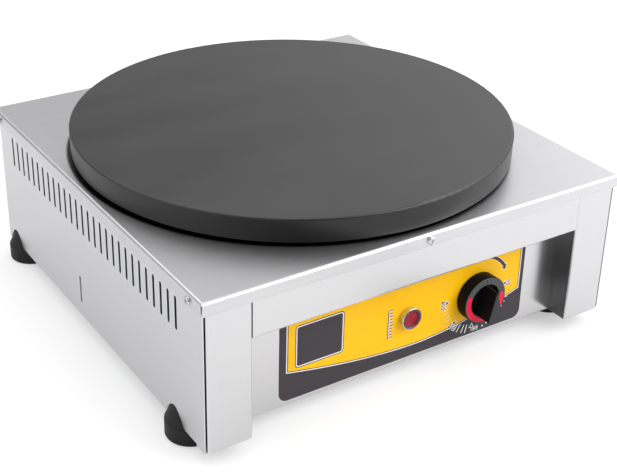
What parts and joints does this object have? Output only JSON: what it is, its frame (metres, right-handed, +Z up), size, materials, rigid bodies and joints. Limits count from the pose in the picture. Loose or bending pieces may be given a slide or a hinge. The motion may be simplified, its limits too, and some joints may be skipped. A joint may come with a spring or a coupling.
{
  "type": "electric crepe maker",
  "caption": "Square stainless countertop crepe maker: round cast-iron plate on a folded vented casing, recessed panel with one dial and lamp, conical rubber feet.",
  "frame": {"origin": "on the cooking plate's axis at table level, which is the centre of the base of the bounding box", "axes": "+Z up; -Y is the front with the control panel; +X is to the right seen from the front"},
  "size_m": [0.4256, 0.425, 0.1763],
  "materials": {
    "cast_iron": "seasoned, machined top, semi-gloss rim",
    "black_enamel": "satin black heat-resistant enamel",
    "stainless": "fine brushed stainless, satin",
    "galvanised": "galvanised sheet",
    "element_sheath": "heat-tinted tube sheath",
    "zinc_fastener": "bright zinc",
    "ceramic_fibre": "felted white fibre",
    "rubber": "moulded black, satin",
    "dial_plastic": "black thermoset, satin",
    "dial_red": "red print inlay",
    "label_film": "charcoal and yellow printed film",
    "bezel_chrome": "polished",
    "lamp_lens": "red tinted",
    "black_nylon": "moulded nylon",
    "white_moulding": "heat-resistant moulding",
    "copper": "bare copper tube",
    "brass": "plain brass"
  },
  "bodies": {
    "casing": {"base_plate": "galvanised", "bulb_clip": "galvanised", "cable_gland": "black_nylon", "capillary_tube": "copper", "clamp_nuts": "zinc_fastener", "control_label": "label_film", "cover_nuts": "zinc_fastener", "cover_screws": "zinc_fastener", "crepe_plate": "cast_iron", "earth_nuts": "brass", "earth_stud": "brass", "element_clamp": "galvanised", "foot_front_left": "rubber", "foot_front_right": "rubber", "foot_nuts": "zinc_fastener", "foot_rear_left": "rubber", "foot_rear_right": "rubber", "foot_screws": "zinc_fastener", "foot_washers": "zinc_fastener", "front_panel": "stainless", "front_post_left": "stainless", "front_post_right": "stainless", "gland_cap": "black_nylon", "gland_nut": "black_nylon", "heat_tray": "galvanised", "heating_element_inner": "element_sheath", "heating_element_outer": "element_sheath", "insulation_pad": "ceramic_fibre", "pilot_lamp_bezel": "bezel_chrome", "pilot_lamp_body": "black_nylon", "pilot_lamp_lens": "lamp_lens", "pilot_lamp_nut": "zinc_fastener", "plate_studs": "zinc_fastener", "plate_support_ring": "black_enamel", "rear_panel": "stainless", "rear_panel_nuts": "zinc_fastener", "rear_panel_screws": "zinc_fastener", "reflector_plate": "galvanised", "side_panel_left": "stainless", "side_panel_right": "stainless", "terminal_block": "white_moulding", "terminal_screws": "brass", "thermostat_body": "white_moulding", "thermostat_bulb": "copper", "thermostat_screws": "zinc_fastener", "top_cover": "stainless", "tray_nuts": "zinc_fastener"},
    "dial": {"control_knob": "dial_plastic", "knob_heat_arc": "dial_red", "knob_spring_clip": "zinc_fastener", "thermostat_shaft": "zinc_fastener"}
  },
  "joints": [
    {"name": "dial_turn", "type": "hinge", "parent": "casing", "child": "dial", "pos_m": [0.074, -0.1855, 0.0604], "axis": [0, 1, 0], "range_deg": [0, 270]}
  ]
}
